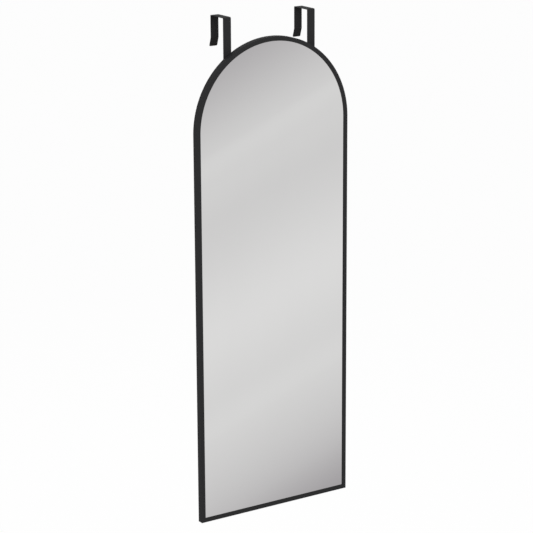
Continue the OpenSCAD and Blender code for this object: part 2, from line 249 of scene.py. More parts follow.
def outline(bm, points, corners=0.0, segments=3):
    """A flat face through the points; corners is one radius, or a list with one for each."""
    radii = corners if isinstance(corners, list) else [corners] * len(points)
    verts = [bm.verts.new(p) for p in points]
    bm.faces.new(verts)
    for radius in sorted(set(radii) - {0.0}):
        bmesh.ops.bevel(
            bm, geom=[v for v, r in zip(verts, radii) if r == radius], offset=radius,
            offset_type="OFFSET", segments=segments, profile=0.5, affect="VERTICES",
            clamp_overlap=True, material=-1,
        )
    bm.faces.ensure_lookup_table()
    return bm.faces[-1]


def pull(bm, face, by):
    """Extrudes a face by a vector and gives the new end face; none is left behind inside."""
    geometry = [face, *face.edges, *face.verts]
    made = bmesh.ops.extrude_face_region(bm, geom=geometry)["geom"]
    bmesh.ops.translate(bm, verts=verts_in(made), vec=by)
    return faces_in(made)[0]


def sweep(bm, face, centre, axis, angle, steps):
    """Carries an end face round a bend and gives the new end face."""
    geometry = [face, *face.edges, *face.verts]
    made = bmesh.ops.spin(
        bm, geom=geometry, cent=centre, axis=axis, angle=angle, steps=steps, use_merge=False
    )
    return faces_in(made["geom_last"])[0]


def slice_off(bm, at, facing):
    """Cuts away all that lies beyond a plane and closes the cut."""
    made = bmesh.ops.bisect_plane(
        bm, geom=bm.verts[:] + bm.edges[:] + bm.faces[:], dist=SAME_POINT,
        plane_co=at, plane_no=facing, clear_outer=True,
    )
    edges = [g for g in made["geom_cut"] if isinstance(g, bmesh.types.BMEdge)]
    bmesh.ops.edgeloop_fill(bm, edges=edges)


def lathe(profile, steps):
    """A turned shape about Y: the profile's points are (radius, y), from axis to axis."""
    bm = bmesh.new()
    verts = [bm.verts.new((r, y, 0)) for r, y in profile]
    edges = [bm.edges.new(pair) for pair in zip(verts, verts[1:])]
    bmesh.ops.spin(
        bm, geom=verts + edges, cent=(0, 0, 0), axis=(0, 1, 0), angle=math.tau,
        steps=steps, use_merge=True,
    )
    bmesh.ops.remove_doubles(bm, verts=bm.verts[:], dist=SAME_POINT)
    return bm


def dome(crown_r, rim_y, width, height, steps):
    """Profile points of a dome's shoulder, from its rim up to its crown."""
    turns = [math.radians(90) * step / steps for step in range(steps + 1)]
    return [(crown_r + width * math.cos(t), rim_y + height * math.sin(t)) for t in turns]


def block(low, high):
    """A plain block between two corners."""
    bm = bmesh.new()
    size = Vector(high) - Vector(low)
    bmesh.ops.create_cube(bm, size=1)
    bmesh.ops.scale(bm, verts=bm.verts[:], vec=size)
    bmesh.ops.translate(bm, verts=bm.verts[:], vec=(Vector(low) + Vector(high)) / 2)
    return bm


def rod(radius, length, centre, steps=48):
    """A straight rod along Y, with a flat and not a corner at its left and right."""
    bm = bmesh.new()
    bmesh.ops.create_cone(
        bm, cap_ends=True, segments=steps, radius1=radius, radius2=radius, depth=length
    )
    half_step = Matrix.Rotation(math.pi / steps, 3, "Z")
    lay_down = Matrix.Rotation(math.radians(90), 3, "X")
    bmesh.ops.rotate(bm, matrix=lay_down @ half_step, verts=bm.verts[:])
    bmesh.ops.translate(bm, vec=centre, verts=bm.verts[:])
    return bm


def joined(name, bms):
    """Several bmeshes as one piece."""
    whole = bmesh.new()
    for bm in bms:
        part = bpy.data.meshes.new("part")
        bm.to_mesh(part)
        bm.free()
        whole.from_mesh(part)
        bpy.data.meshes.remove(part)
    return as_piece(whole, name)


def solids_of(node):
    """The lowest and highest corner of each separate solid in a CAD node."""
    bm = bmesh.new()
    bm.from_mesh(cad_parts[node].data)
    bmesh.ops.remove_doubles(bm, verts=bm.verts[:], dist=CLOSE)
    found, left = [], set(bm.verts)
    while left:
        ring = [left.pop()]
        group = set(ring)
        while ring:
            near = {e.other_vert(v) for v in ring for e in v.link_edges} & left
            left -= near
            group |= near
            ring = list(near)
        low = Vector([min(v.co[i] for v in group) for i in range(3)])
        high = Vector([max(v.co[i] for v in group) for i in range(3)])
        found.append((low, high))
    bm.free()
    return sorted(found, key=lambda box: tuple(round(c, 5) for c in box[0]))


def axes_of(node, y=0.0):
    """Where the axis of each separate solid in a CAD node crosses a depth."""
    return [((low.x + high.x) / 2, y, (low.z + high.z) / 2) for low, high in solids_of(node)]


def drill(piece, diameter, node, front, back):
    """Drills the piece's wall between two depths, on the axis of each of the node's screws."""
    length = back - front + 2 * DRILL_OVER
    middle = (front + back) / 2
    rods = [rod(diameter / 2, length, centre) for centre in axes_of(node, middle)]
    cut(piece, joined("drill", rods))


def repeated(name, pattern, places):
    """One piece with a copy of the pattern's mesh at each place; the pattern is used up."""
    whole = bmesh.new()
    for place in places:
        copy = pattern.data.copy()
        copy.transform(Matrix.Translation(place))
        whole.from_mesh(copy)
        bpy.data.meshes.remove(copy)
    bpy.data.objects.remove(pattern)
    return as_piece(whole, name)


def dress(piece, body, material, slot, *nodes, angle=SMOOTH_BELOW):
    """Gives a new piece its finish and body, in place of the CAD nodes it stands for."""
    piece.data.materials.clear()
    piece.data.materials.append(material)
    shade(piece, angle)
    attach(piece, body)
    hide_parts(*nodes)


# ---------------------------------------------------------------- shader helpers

def put(tree, kind, inputs=None, **settings):
    """Adds a shader node; an input takes a value or a link from a socket."""
    node = tree.nodes.new(kind)
    for name, value in settings.items():
        setattr(node, name, value)
    for name, value in (inputs or {}).items():
        if isinstance(value, bpy.types.NodeSocket):
            tree.links.new(value, node.inputs[name])
        else:
            node.inputs[name].default_value = value
    return node


def new_group(name, inputs, outputs):
    """An empty shader node group with named sockets."""
    group = bpy.data.node_groups.new(name, "ShaderNodeTree")
    for label, kind, value in inputs:
        socket = group.interface.new_socket(label, in_out="INPUT", socket_type=kind)
        socket.default_value = value
    for label, kind in outputs:
        group.interface.new_socket(label, in_out="OUTPUT", socket_type=kind)
    return group, group.nodes.new("NodeGroupInput").outputs


def give_out(group, **values):
    """Links sockets to the group's outputs; an underscore in a name stands for a space."""
    sink = group.nodes.new("NodeGroupOutput")
    for name, value in values.items():
        group.links.new(value, sink.inputs[name.replace("_", " ")])


def math_node(tree, operation, a, b):
    return put(tree, "ShaderNodeMath", {0: a, 1: b}, operation=operation).outputs[0]


def noise(tree, scale, vector=None, detail=3.0, roughness=0.55, distortion=0.0):
    """Cloudy noise, on Object coordinates unless it is given others."""
    inputs = {"Scale": scale, "Detail": detail, "Roughness": roughness, "Distortion": distortion}
    if vector is None:
        vector = put(tree, "ShaderNodeTexCoord").outputs["Object"]
    inputs["Vector"] = vector
    return put(tree, "ShaderNodeTexNoise", inputs).outputs["Fac"]


def spread(tree, value, low, high, to_low=0.0, to_high=1.0):
    """Maps a value's range to another range."""
    inputs = {
        "Value": value, "From Min": low, "From Max": high, "To Min": to_low, "To Max": to_high,
    }
    return put(tree, "ShaderNodeMapRange", inputs).outputs["Result"]


def stretched(tree, scale):
    """Object coordinates with a scale of their own along each axis."""
    coordinates = put(tree, "ShaderNodeTexCoord").outputs["Object"]
    return put(tree, "ShaderNodeMapping", {"Vector": coordinates, "Scale": scale}).outputs["Vector"]


def mix_colours(tree, factor, a, b):
    """Mixes two colours, each a socket or three numbers."""
    # By number, because the node's colour sockets share their names with its others
    inputs = {0: factor, 6: a, 7: b}
    inputs = {i: (*v, 1) if isinstance(v, tuple) else v for i, v in inputs.items()}
    return put(tree, "ShaderNodeMix", inputs, data_type="RGBA").outputs[2]


def grain_group():
    """Fine texture of a coat or a moulding: even grains on a slow swell."""
    group, given = new_group(
        "surface_grain",
        [("Grain Scale", "NodeSocketFloat", 2500.0), ("Swell Scale", "NodeSocketFloat", 300.0),
         ("Swell Share", "NodeSocketFloat", 0.4)],
        [("Height", "NodeSocketFloat")],
    )
    grain = noise(group, given["Grain Scale"], detail=2.0)
    swell = noise(group, given["Swell Scale"], detail=1.0)
    part = math_node(group, "MULTIPLY", swell, given["Swell Share"])
    give_out(group, Height=math_node(group, "ADD", grain, part))
    return group


def handling_group():
    """Uneven sheen from handling and wiping, and slight fading of the colour."""
    speck_scale, speck_share = 900.0, 0.25
    group, given = new_group(
        "handling",
        [("Colour", "NodeSocketColor", (0.5, 0.5, 0.5, 1)),
         ("Faded Colour", "NodeSocketColor", (0.6, 0.6, 0.6, 1)),
         ("Fading", "NodeSocketFloat", 0.5), ("Roughness", "NodeSocketFloat", 0.5),
         ("Roughness Change", "NodeSocketFloat", 0.1), ("Scale", "NodeSocketFloat", 12.0)],
        [("Colour", "NodeSocketColor"), ("Roughness", "NodeSocketFloat")],
    )
    clouds = spread(group, noise(group, given["Scale"], detail=5.0), 0.3, 0.7)
    specks = spread(group, noise(group, speck_scale, detail=1.0), 0.55, 0.8)
    fading = math_node(group, "MULTIPLY", clouds, given["Fading"])
    specks = math_node(group, "MULTIPLY", specks, speck_share)
    fading = math_node(group, "MAXIMUM", fading, specks)
    colour = mix_colours(group, fading, given["Colour"], given["Faded Colour"])
    change = math_node(group, "MULTIPLY", clouds, given["Roughness Change"])
    give_out(group, Colour=colour, Roughness=math_node(group, "ADD", given["Roughness"], change))
    return group


GRAIN = grain_group()
HANDLING = handling_group()


def new_material(name, **settings):
    """A material with its Principled BSDF, whose plain sockets are set here."""
    material = bpy.data.materials.new(name)
    material.use_nodes = True
    shader = material.node_tree.nodes["Principled BSDF"]
    for label, value in settings.items():
        shader.inputs[label.replace("_", " ")].default_value = value
    return material, material.node_tree, shader


def bare_material(name):
    """A material with no shader yet, for the stage."""
    material = bpy.data.materials.new(name)
    material.use_nodes = True
    material.node_tree.nodes.clear()
    return material, material.node_tree


def use_group(tree, group, **values):
    """Places a node group; an underscore in a name stands for a space."""
    inputs = {name.replace("_", " "): value for name, value in values.items()}
    return put(tree, "ShaderNodeGroup", inputs, node_tree=group).outputs


def bump(tree, shader, height, strength, depth):
    """Bump from a height; the depth is in metres."""
    inputs = {"Height": height, "Strength": strength, "Distance": depth}
    node = put(tree, "ShaderNodeBump", inputs)
    tree.links.new(node.outputs["Normal"], shader.inputs["Normal"])


def worn_in(tree, shader, colour, faded, fading, roughness, change, scale):
    """Colour and roughness that vary as on a handled thing."""
    out = use_group(
        tree, HANDLING, Colour=(*colour, 1), Faded_Colour=(*faded, 1), Fading=fading,
        Roughness=roughness, Roughness_Change=change, Scale=scale,
    )
    tree.links.new(out["Colour"], shader.inputs["Base Color"])
    tree.links.new(out["Roughness"], shader.inputs["Roughness"])
    return out["Colour"]


# ---------------------------------------------------------------- materials

def powder_coat(name, level, roughness):
    """Matt black powder coat: fine grains on a slight orange peel, their crests painted a little
    paler as a highlight.
    """
    blue_lean, faded_by, crest_glint_lift = 1.04, 1.4, 2.1
    material, tree, shader = new_material(name, Specular_IOR_Level=0.12)
    dark = (level, level, level * blue_lean)
    coat = worn_in(
        tree, shader, colour=dark, faded=tuple(c * faded_by for c in dark), fading=0.5,
        roughness=roughness, change=0.08, scale=9.0,
    )
    grain = use_group(tree, GRAIN, Grain_Scale=2800.0, Swell_Scale=900.0, Swell_Share=0.2)
    # Painted highlight: the grains' crests are made paler in the colour itself, as glints of light;
    # the bump shades the same grains for real
    crest_glints = spread(tree, grain["Height"], 0.5, 0.85)
    coat_with_crest_glints = mix_colours(tree, crest_glints, coat, tuple(c * crest_glint_lift for c in dark))
    tree.links.new(coat_with_crest_glints, shader.inputs["Base Color"])
    bump(tree, shader, grain["Height"], strength=0.8, depth=0.08 * MM)
    return material


def mirror_silver():
    """A silvered pane: a clear, near-perfect reflection with faint wiping marks."""
    clean, wiped = (0.873, 0.868, 0.864), (0.887, 0.883, 0.878)
    long_upwards = (14, 14, 3)
    speck_roughness = 0.05
    material, tree, shader = new_material("mirror_silver", Metallic=1.0)
    marks = noise(tree, 1.0, stretched(tree, long_upwards), detail=4.0, distortion=0.6)
    specks = spread(tree, noise(tree, 1400.0, detail=1.0), 0.74, 0.82)
    haze = spread(tree, marks, 0.45, 0.75, to_low=0.012, to_high=0.028)
    specks = math_node(tree, "MULTIPLY", specks, speck_roughness)
    tree.links.new(math_node(tree, "ADD", haze, specks), shader.inputs["Roughness"])
    tree.links.new(mix_colours(tree, marks, clean, wiped), shader.inputs["Base Color"])
    return material


def zinc_plate():
    """Bright zinc plate on pressed steel: cloudy, with fine rolling lines."""
    dull, bright = (0.42, 0.43, 0.45), (0.62, 0.63, 0.64)
    long_across = (40, 400, 2400)
    cloud_share, flake_share, line_roughness = 0.7, 0.3, 0.06
    material, tree, shader = new_material("zinc_plate", Metallic=1.0)
    clouds = spread(tree, noise(tree, 60.0, detail=5.0), 0.3, 0.7)
    flakes = put(tree, "ShaderNodeTexVoronoi", {"Scale": 320.0}, feature="F1").outputs["Color"]
    flake = put(tree, "ShaderNodeSeparateColor", {"Color": flakes}).outputs[0]
    tone = math_node(tree, "ADD", math_node(tree, "MULTIPLY", clouds, cloud_share),
                     math_node(tree, "MULTIPLY", flake, flake_share))
    tree.links.new(mix_colours(tree, tone, dull, bright), shader.inputs["Base Color"])
    lines = noise(tree, 1.0, stretched(tree, long_across), detail=2.0)
    rough = math_node(tree, "ADD", spread(tree, tone, 0, 1, to_low=0.3, to_high=0.42),
                      math_node(tree, "MULTIPLY", lines, line_roughness))
    tree.links.new(rough, shader.inputs["Roughness"])
    bump(tree, shader, lines, strength=0.15, depth=0.02 * MM)
    return material


def cast_aluminium():
    """Bare cast aluminium of the corner keys."""
    material, tree, shader = new_material("cast_aluminium", Metallic=1.0)
    worn_in(
        tree, shader, colour=(0.55, 0.56, 0.58), faded=(0.66, 0.67, 0.68), fading=0.8,
        roughness=0.42, change=0.15, scale=80.0,
    )
    grain = use_group(tree, GRAIN, Grain_Scale=1500.0, Swell_Scale=250.0, Swell_Share=1.0)
    bump(tree, shader, grain["Height"], strength=0.5, depth=0.06 * MM)
    return material


def fibreboard():
    """Plain brown fibreboard: matted fibres, a fine dust between them and a few bark flecks."""
    brown, tan = (0.2, 0.126, 0.072), (0.37, 0.255, 0.16)
    stain, bark = (0.25, 0.165, 0.1), (0.1, 0.06, 0.035)
    dust_share, stain_share, bark_share = 0.5, 0.35, 0.5
    material, tree, shader = new_material("fibreboard", Specular_IOR_Level=0.25)
    matted = noise(tree, 420.0, detail=5.0, roughness=0.7, distortion=1.1)
    dust = noise(tree, 2200.0, detail=1.0)
    clouds = noise(tree, 6.0, detail=4.0)
    felt = math_node(tree, "ADD", matted, math_node(tree, "MULTIPLY", dust, dust_share))
    tone = spread(tree, felt, 0.5, 1.0)
    flecks = spread(tree, noise(tree, 520.0, detail=1.0, distortion=1.5), 0.72, 0.8)
    stained = spread(tree, clouds, 0.3, 0.7, to_high=stain_share)
    colour = mix_colours(tree, stained, mix_colours(tree, tone, brown, tan), stain)
    colour = mix_colours(tree, math_node(tree, "MULTIPLY", flecks, bark_share), colour, bark)
    tree.links.new(colour, shader.inputs["Base Color"])
    rough = spread(tree, tone, 0, 1, to_low=0.62, to_high=0.78)
    tree.links.new(rough, shader.inputs["Roughness"])
    bump(tree, shader, felt, strength=0.5, depth=0.06 * MM)
    return material


def rubber():
    """Moulded black rubber with a dull bloom."""
    material, tree, shader = new_material("black_rubber", Specular_IOR_Level=0.35)
    worn_in(
        tree, shader, colour=(0.013, 0.013, 0.014), faded=(0.03, 0.03, 0.031), fading=0.7,
        roughness=0.58, change=0.14, scale=60.0,
    )
    grain = use_group(tree, GRAIN, Grain_Scale=3000.0, Swell_Scale=500.0, Swell_Share=0.5)
    bump(tree, shader, grain["Height"], strength=0.4, depth=0.04 * MM)
    return material


def cell_foam(name, colour, lighter):
    """Closed-cell foam: small round cells, cut open here and there."""
    material, tree, shader = new_material(name, Specular_IOR_Level=0.2, Sheen_Weight=0.15)
    cells = put(tree, "ShaderNodeTexVoronoi", {"Scale": 1900.0}, feature="SMOOTH_F1")
    open_cells = spread(tree, cells.outputs["Distance"], 0.15, 0.6)
    tree.links.new(mix_colours(tree, open_cells, colour, lighter), shader.inputs["Base Color"])
    rough = spread(tree, open_cells, 0, 1, to_low=0.95, to_high=0.8)
    tree.links.new(rough, shader.inputs["Roughness"])
    bump(tree, shader, open_cells, strength=0.7, depth=0.08 * MM)
    return material


def grey_film():
    """Thin plastic film, slightly rippled."""
    material, tree, shader = new_material("grey_film")
    worn_in(
        tree, shader, colour=(0.11, 0.12, 0.13), faded=(0.15, 0.16, 0.17), fading=0.6,
        roughness=0.3, change=0.12, scale=30.0,
    )
    bump(tree, shader, noise(tree, 220.0, detail=2.0), strength=0.2, depth=0.05 * MM)
    return material


FRAME_COAT = powder_coat("frame_powder_coat", level=0.0165, roughness=0.62)
HOOK_COAT = powder_coat("hook_powder_coat", level=0.016, roughness=0.62)
SILVER = mirror_silver()
ZINC = zinc_plate()
ALUMINIUM = cast_aluminium()
BOARD = fibreboard()
RUBBER = rubber()
BLACK_FOAM = cell_foam("black_foam", colour=(0.01, 0.01, 0.011), lighter=(0.032, 0.032, 0.034))
WHITE_FOAM = cell_foam("white_foam", colour=(0.62, 0.61, 0.57), lighter=(0.82, 0.81, 0.77))
FILM = grey_film()


# ---------------------------------------------------------------- frame

def rail_section(bm, place):
    """The extrusion's section as a face; place turns (inwards, depth) into a point."""
    wall, width = LIP_T, RAIL_W
    corners = [
        (0, FRONT), (width, FRONT), (width, FRONT + LIP_T), (wall, FRONT + LIP_T),
        (wall, RIB_FRONT), (width, RIB_FRONT), (width, CHANNEL_FRONT), (wall, CHANNEL_FRONT),
        (wall, CHANNEL_BACK), (width, CHANNEL_BACK), (width, BACK), (0, BACK),
    ]
    return outline(bm, [place(u, y) for u, y in corners], corners=SECTION_ROUND)


def arch_rail():
    """Both side rails and the arch, bent from one length, with mitred feet."""
    bm = bmesh.new()
    foot = rail_section(bm, lambda u, y: (-ARCH_R + u, y, BOTTOM))
    pull(bm, foot, (0, 0, SPRING - BOTTOM))
    slice_off(bm, at=(-ARCH_R, 0, BOTTOM + MITRE_GAP / 2), facing=(1, 0, -1))
    end = max(bm.faces, key=lambda f: f.calc_center_median().z)
    quarter = math.radians(90)
    crown = sweep(bm, end, (0, 0, SPRING), (0, 1, 0), quarter, steps=QUARTER_ARCH_STEPS)
    bmesh.ops.delete(bm, geom=[crown], context="FACES_ONLY")
    bmesh.ops.mirror(
        bm, geom=bm.verts[:] + bm.edges[:] + bm.faces[:], matrix=Matrix.Identity(4),
        merge_dist=CLOSE, axis="X",
    )
    piece = as_piece(bm, "arch_rail")
    drill(piece, KEY_HOLE_D, "corner_key_screws", CHANNEL_BACK, BACK)
    drill(piece, TAB_FLANGE_HOLE_D, "hanger_rail_screws", CHANNEL_BACK, BACK)
    dress(piece, "frame", FRAME_COAT, "black_powder_coat", "frame_arch_rail")


def bottom_rail():
    """The mitred bottom rail."""
    bm = bmesh.new()
    start = rail_section(bm, lambda u, y: (-ARCH_R, y, BOTTOM + u))
    pull(bm, start, (2 * ARCH_R, 0, 0))
    for side in (-1, 1):
        at = (side * (ARCH_R - MITRE_GAP / 2), 0, BOTTOM)
        slice_off(bm, at=at, facing=(side, 0, 1))
    piece = as_piece(bm, "bottom_rail")
    drill(piece, KEY_HOLE_D, "corner_key_screws", CHANNEL_BACK, BACK)
    dress(piece, "frame", FRAME_COAT, "black_powder_coat", "frame_bottom_rail")


def mirror_pane():
    """The arched pane with a narrow flat ground along its front edge."""
    radius = glass_high.x
    bm = bmesh.new()
    start = bm.verts.new((radius, glass_low.y, SPRING))
    bmesh.ops.spin(
        bm, geom=[start], cent=(0, glass_low.y, SPRING), axis=(0, 1, 0), angle=-math.pi,
        steps=PANE_ARCH_STEPS,
    )
    bm.verts.ensure_lookup_table()
    left = min(bm.verts, key=lambda v: v.co.x)
    low_left = bm.verts.new((-radius, glass_low.y, glass_low.z))
    low_right = bm.verts.new((radius, glass_low.y, glass_low.z))
    for pair in ((left, low_left), (low_left, low_right), (low_right, start)):
        bm.edges.new(pair)
    bmesh.ops.edgeloop_fill(bm, edges=bm.edges[:])
    bm.faces.ensure_lookup_table()
    pull(bm, bm.faces[0], (0, glass_high.y - glass_low.y, 0))
    rim = [e for e in bm.edges if all(abs(v.co.y - glass_low.y) < SAME_POINT for v in e.verts)]
    bmesh.ops.bevel(
        bm, geom=rim, offset=GLASS_SEAM, offset_type="OFFSET", segments=1, profile=0.5,
        affect="EDGES", material=-1,
    )
    dress(as_piece(bm, "mirror_pane"), "frame", SILVER, "silvering", "mirror_glass", angle=10)


# ---------------------------------------------------------------- hooks

def slot_cutter(x):
    """A long round-ended plug that cuts the slot in a hook's leg."""
    right_through = 4 * STRAP_T
    bm = rod(SLOT_R, right_through, (x, BACK, HANGER_Z))
    for up in (-1, 1):
        end = [v for v in bm.verts if up * (v.co.z - HANGER_Z) > 0]
        bmesh.ops.translate(bm, verts=end, vec=(0, 0, up * SLOT_HALF))
    return as_piece(bm, "slot_cutter")


def hook(side_name):
    """One hook: a strap bent over the door, its leg slotted and its lip flared."""
    node = "hook_" + side_name
    low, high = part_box(node)
    x = (low.x + high.x) / 2
    across, quarter_turn = (1, 0, 0), math.radians(-90)
    front, rear = BACK + STRAP_T, BACK + STRAP_T + THROAT
    bm = bmesh.new()
    corners = [(low.x, BACK), (high.x, BACK), (high.x, front), (low.x, front)]
    leg_end = outline(bm, [(u, v, LEG_BOTTOM) for u, v in corners])
    end = pull(bm, leg_end, (0, 0, -FRONT_BEND_R - LEG_BOTTOM))
    centre = (x, front + FRONT_BEND_R, -FRONT_BEND_R)
    end = sweep(bm, end, centre, across, quarter_turn, steps=10)
    end = pull(bm, end, (0, THROAT - FRONT_BEND_R - REAR_BEND_R, 0))
    centre = (x, rear - REAR_BEND_R, -REAR_BEND_R)
    end = sweep(bm, end, centre, across, quarter_turn, steps=8)
    lip_z = STRAP_T - REAR_LEG
    end = pull(bm, end, (0, 0, lip_z + REAR_BEND_R))
    outer_r = STRAP_T + REAR_BEND_R
    end = sweep(bm, end, (x, rear + outer_r, lip_z), across, LIP_LEAN, steps=5)
    lip_l = (LIP_DROP - outer_r * math.sin(LIP_LEAN)) / math.cos(LIP_LEAN)
    pull(bm, end, lip_l * Vector((0, math.sin(LIP_LEAN), -math.cos(LIP_LEAN))))
    lowest = min(bm.faces, key=lambda f: f.calc_center_median().z)
    rearmost = max(bm.faces, key=lambda f: f.calc_center_median().y)
    corner_edges = [e for e in (*lowest.edges, *rearmost.edges)
                    if abs(e.calc_length() - STRAP_T) < CLOSE]
    bmesh.ops.bevel(
        bm, geom=corner_edges, offset=STRAP_CORNER_R, offset_type="OFFSET", segments=6,
        profile=0.5, affect="EDGES", material=-1,
    )
    piece = as_piece(bm, "strap_" + side_name)
    cut(piece, slot_cutter(x))
    round_edges(piece, STRAP_EDGE, segments=3)
    dress(piece, node, HOOK_COAT, "black_hook_coat", node)


def door_pads(side_name):
    """The foam pads on a hook's leg, cut from sheet, their corners slightly round."""
    node = "door_pads_" + side_name
    piece = joined("pads_" + side_name, [block(low, high) for low, high in solids_of(node)])
    round_edges(piece, PAD_EDGE, segments=3)
    dress(piece, "hook_" + side_name, BLACK_FOAM, "black_foam", node, angle=60)


# ---------------------------------------------------------------- hanger rail and clamps

def rail_tab(side):
    """An end tab one step below the crown, following the arch and cut level at both ends."""
    bm = bmesh.new()
    inner = ARCH_R - RAIL_W - HANGER_GAP - HANGER_T
    # How far out it reaches, from the hanger rail's widest corner
    outer = math.hypot(hanger_high.x, HANGER_Z - TAB_HALF - SPRING)
    front = TAB_BACK - HANGER_T
    corners = [(inner, front), (outer, front), (outer, TAB_BACK), (inner, TAB_BACK)]
    face = outline(bm, [(side * r, y, SPRING) for r, y in corners])
    rise = HANGER_Z - SPRING
    low_angle = math.asin((rise - TAB_HALF) / outer) - TAB_SPARE
    high_angle = math.asin((rise + TAB_HALF) / inner) + TAB_SPARE
    turn = Matrix.Rotation(-side * low_angle, 3, "Y")
    bmesh.ops.rotate(bm, cent=(0, 0, SPRING), matrix=turn, verts=bm.verts[:])
    swept = -side * (high_angle - low_angle)
    sweep(bm, face, (0, 0, SPRING), (0, 1, 0), swept, steps=TAB_STEPS)
    for up in (-1, 1):
        slice_off(bm, at=(0, 0, HANGER_Z + up * TAB_HALF), facing=(0, 0, up))
    piece = as_piece(bm, "rail_tab")
    round_edges(piece, SHEET_EDGE, angle=SHEET_ROUND_ABOVE)
    return piece


def hanger_rail():
    """The pressed cross rail: a hat section whose ends follow the arch, with two end tabs."""
    foot = hanger_high.z - HANGER_Z - CROWN_HALF
    front, half, t = RIB_FRONT, CROWN_HALF, HANGER_T
    inside, outside = SHEET_BEND_R, SHEET_BEND_R + t
    # Depth, height and bend radius at each corner of the section
    lower = [
        (front, -half - foot, 0.0), (front + t, -half - foot, 0.0), (front + t, -half, inside),
        (BACK, -half, outside),
    ]
    upper = [(y, -z, r) for y, z, r in reversed(lower)]
    hollow = [
        (front, half - t, outside), (BACK - t, half - t, inside), (BACK - t, t - half, inside),
        (front, t - half, outside),
    ]
    section = lower + upper + hollow
    bm = bmesh.new()
    points = [(-ARCH_R, y, HANGER_Z + z) for y, z, r in section]
    face = outline(bm, points, corners=[r for y, z, r in section], segments=5)
    pull(bm, face, (2 * ARCH_R, 0, 0))
    piece = as_piece(bm, "cross_rail")
    right_through = 4 * RAIL_W
    disc = rod(ARCH_R - RAIL_W - HANGER_GAP, right_through, (0, BACK, SPRING), RAIL_END_STEPS)
    cut(piece, as_piece(disc, "disc"), "INTERSECT")
    round_edges(piece, SHEET_EDGE, angle=SHEET_ROUND_ABOVE)
    for side in (-1, 1):
        cut(piece, rail_tab(side), "UNION")
    drill(piece, NUT_HOLE_D, "clamp_screws", BACK - HANGER_T, BACK)
    drill(piece, TAB_HOLE_D, "hanger_rail_screws", TAB_BACK - HANGER_T, TAB_BACK)
    dress(piece, "frame", ZINC, "zinc_plated_steel", "hanger_rail")


def clamp_plate(side_name):
    """A clamp plate with round corners and its two screw holes."""
    node = "clamp_plate_" + side_name
    low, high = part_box(node)
    bm = bmesh.new()
    points = [(low.x, low.y, low.z), (high.x, low.y, low.z), (high.x, low.y, high.z),
              (low.x, low.y, high.z)]
    face = outline(bm, points, corners=STRAP_CORNER_R, segments=6)
    pull(bm, face, (0, high.y - low.y, 0))
    piece = as_piece(bm, "plate_" + side_name)
    drill(piece, PLATE_HOLE_D, "clamp_screws", low.y, high.y)
    round_edges(piece, PLATE_EDGE)
    dress(piece, "frame", ZINC, "zinc_plated_steel", node)


def clamp_screws():
    """Low-headed machine screws with a six-sided socket."""
    low, high = solids_of("clamp_screws")[0]
    head_r = (high.x - low.x) / 2
    shank_r = CLAMP_THREAD_R - THREAD_FIT
    seat, edge = high.y - CLAMP_HEAD_H, CLAMP_EDGE
    profile = [(0, low.y), (shank_r - edge, low.y), (shank_r, low.y + edge), (shank_r, seat),
               (head_r - edge, seat), (head_r, seat + edge)]
    profile += [(head_r - inwards, seat + up * CLAMP_HEAD_H) for inwards, up in CLAMP_CROWN]
    profile.append((0, high.y))
    pattern = as_piece(lathe(profile, steps=48), "clamp_screw")
    socket = rod(SOCKET_FLATS / math.sqrt(3), 2 * SOCKET_DEPTH, (0, high.y, 0), steps=6)
    cut(pattern, as_piece(socket, "socket"))
    piece = repeated("clamp_screw_set", pattern, axes_of("clamp_screws"))
    dress(piece, "frame", ZINC, "zinc_plated_steel", "clamp_screws")


def cross_cutter(reach, slit, top, depth):
    """A cross point that narrows towards its tip."""
    arms = []
    for turn in (0, 90):
        bm = block((-reach, top - depth, -slit / 2), (reach, top + depth, slit / 2))
        tip = [v for v in bm.verts if v.co.y < top]
        bmesh.ops.scale(bm, verts=tip, vec=RECESS_POINT)
        spun = Matrix.Rotation(math.radians(turn), 3, "Y")
        bmesh.ops.rotate(bm, matrix=spun, verts=bm.verts[:])
        arms.append(bm)
    first = as_piece(arms[0], "cross_cutter")
    cut(first, as_piece(arms[1], "arm"), "UNION")
    return first


def pan_screws(node, name):
    """Pan-head screws with a cross recess, one at each solid of the node."""
    low, high = solids_of(node)[0]
    head_r, head_h = (high.x - low.x) / 2, high.y - BACK
    shank_r = head_r / PAN_HEAD_RATIO - THREAD_FIT
    profile = [(0, low.y), (shank_r * PAN_TIP_R, low.y), (shank_r, low.y + PAN_TIP_H),
               (shank_r, BACK), (head_r * PAN_SEAT_R, BACK), (head_r, BACK + PAN_SEAT_H * head_h)]
    profile += dome(
        crown_r=head_r * PAN_CROWN_R, rim_y=BACK + head_h * PAN_RIM_H,
        width=head_r * (1 - PAN_CROWN_R), height=head_h * (1 - PAN_RIM_H), steps=6,
    )
    profile.append((0, high.y))
    pattern = as_piece(lathe(profile, steps=36), "pan_screw")
    recess = cross_cutter(
        head_r * RECESS_REACH, head_r * RECESS_SLIT, top=high.y, depth=head_h * RECESS_DEPTH
    )
    cut(pattern, recess)
    piece = repeated(name, pattern, axes_of(node))
    dress(piece, "frame", ZINC, "zinc_plated_steel", node)


def bumpers():
    """Domed rubber bumpers low on the back."""
    low, high = solids_of("rear_bumpers")[0]
    radius = (high.x - low.x) / 2
    slope, slope_h = FOOT_SLOPE
    profile = [(0, low.y), (radius - slope, low.y), (radius, low.y + slope_h)]
    profile += dome(radius - DOME_R, high.y - DOME_R, width=DOME_R, height=DOME_R, steps=7)
    profile.append((0, high.y))
    pattern = as_piece(lathe(profile, steps=48), "bumper")
    piece = repeated("bumper_pair", pattern, axes_of("rear_bumpers"))
    dress(piece, "frame", RUBBER, "black_rubber", "rear_bumpers", angle=40)


def build_pieces():
    """Every piece that takes the place of a CAD node."""
    arch_rail()
    bottom_rail()
    mirror_pane()
    hanger_rail()
    clamp_screws()
    pan_screws("corner_key_screws", "key_screw_set")
    pan_screws("hanger_rail_screws", "tab_screw_set")
    bumpers()
    for side_name in ("left", "right"):
        hook(side_name)
        door_pads(side_name)
        clamp_plate(side_name)


